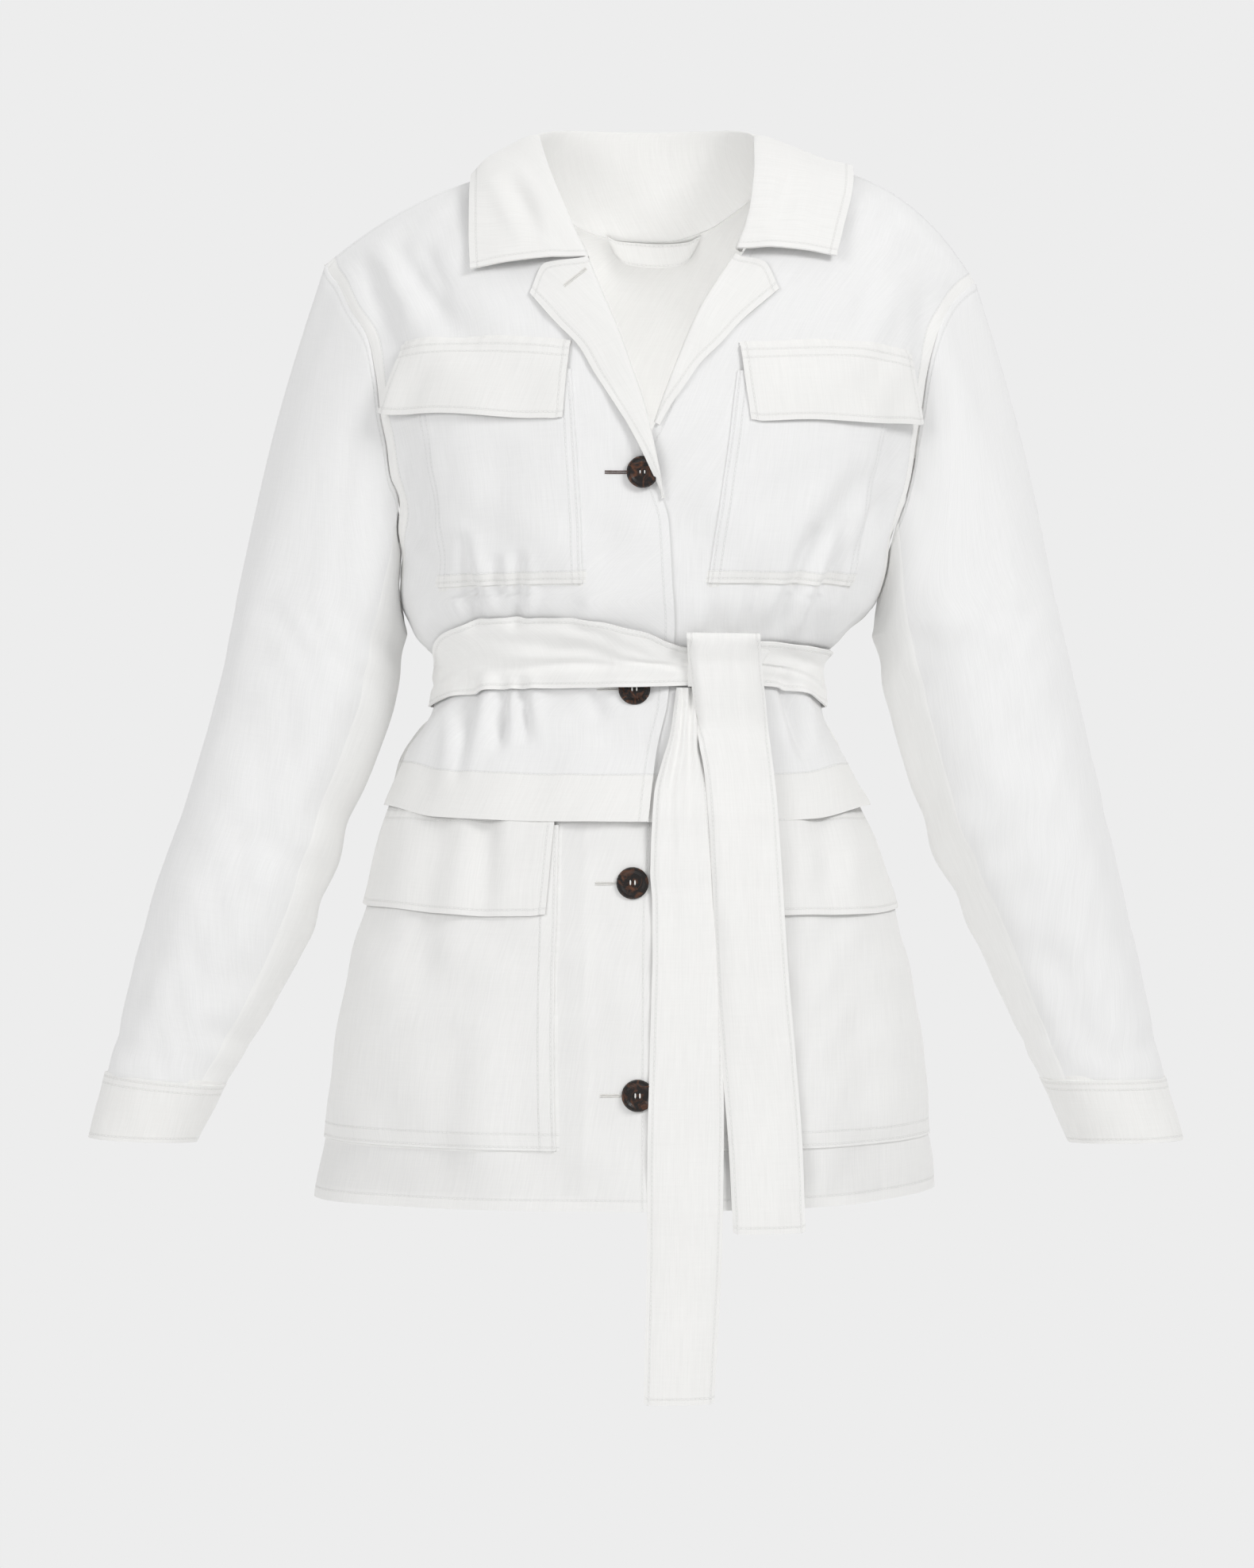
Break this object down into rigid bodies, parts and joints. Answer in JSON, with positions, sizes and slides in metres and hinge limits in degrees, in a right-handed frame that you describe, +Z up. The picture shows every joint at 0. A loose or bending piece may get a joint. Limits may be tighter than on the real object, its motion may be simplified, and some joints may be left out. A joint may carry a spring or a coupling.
{
  "type": "belted safari jacket",
  "caption": "White linen safari jacket with a notched collar, flapped patch pockets, a free bodice hem over a thinner under layer, and a tied belt.",
  "frame": {"origin": "middle of the neck opening, level with the shoulder seams at the neck, where the wearer's neck carries the jacket", "axes": "+Z up from the hem to the neck, the front faces -Y, +X to the viewer's right seen from the front"},
  "size_m": [0.7384, 0.2778, 0.8553],
  "materials": {
    "linen": "plain linen weave, matte, cool white",
    "thin_linen": "single thinner linen, matte, slightly sheer white",
    "double_linen": "doubled linen with topstitched edges, warmer white",
    "horn": "dark brown horn, rimmed and dished, soft gloss"
  },
  "bodies": {
    "root": {"upper_back": "linen", "upper_front_left": "linen", "upper_front_right": "linen", "lower_back": "thin_linen", "lower_front_left": "thin_linen", "lower_front_right": "thin_linen", "sleeve_left_top": "linen", "sleeve_left_under": "linen", "sleeve_right_top": "linen", "sleeve_right_under": "linen", "cuff_left": "double_linen", "cuff_right": "double_linen", "collar": "double_linen", "lapel_left": "double_linen", "lapel_right": "double_linen", "chest_pocket_left": "linen", "chest_pocket_right": "linen", "chest_flap_left": "double_linen", "chest_flap_right": "double_linen", "skirt_pocket_left": "thin_linen", "skirt_pocket_right": "thin_linen", "skirt_flap_left": "double_linen", "skirt_flap_right": "double_linen", "belt_band": "double_linen", "belt_knot": "double_linen", "belt_tail_left": "double_linen", "belt_tail_right": "double_linen", "button_1": "horn", "button_2": "horn", "button_3": "horn", "button_4": "horn", "hanger_loop": "double_linen"}
  },
  "joints": []
}
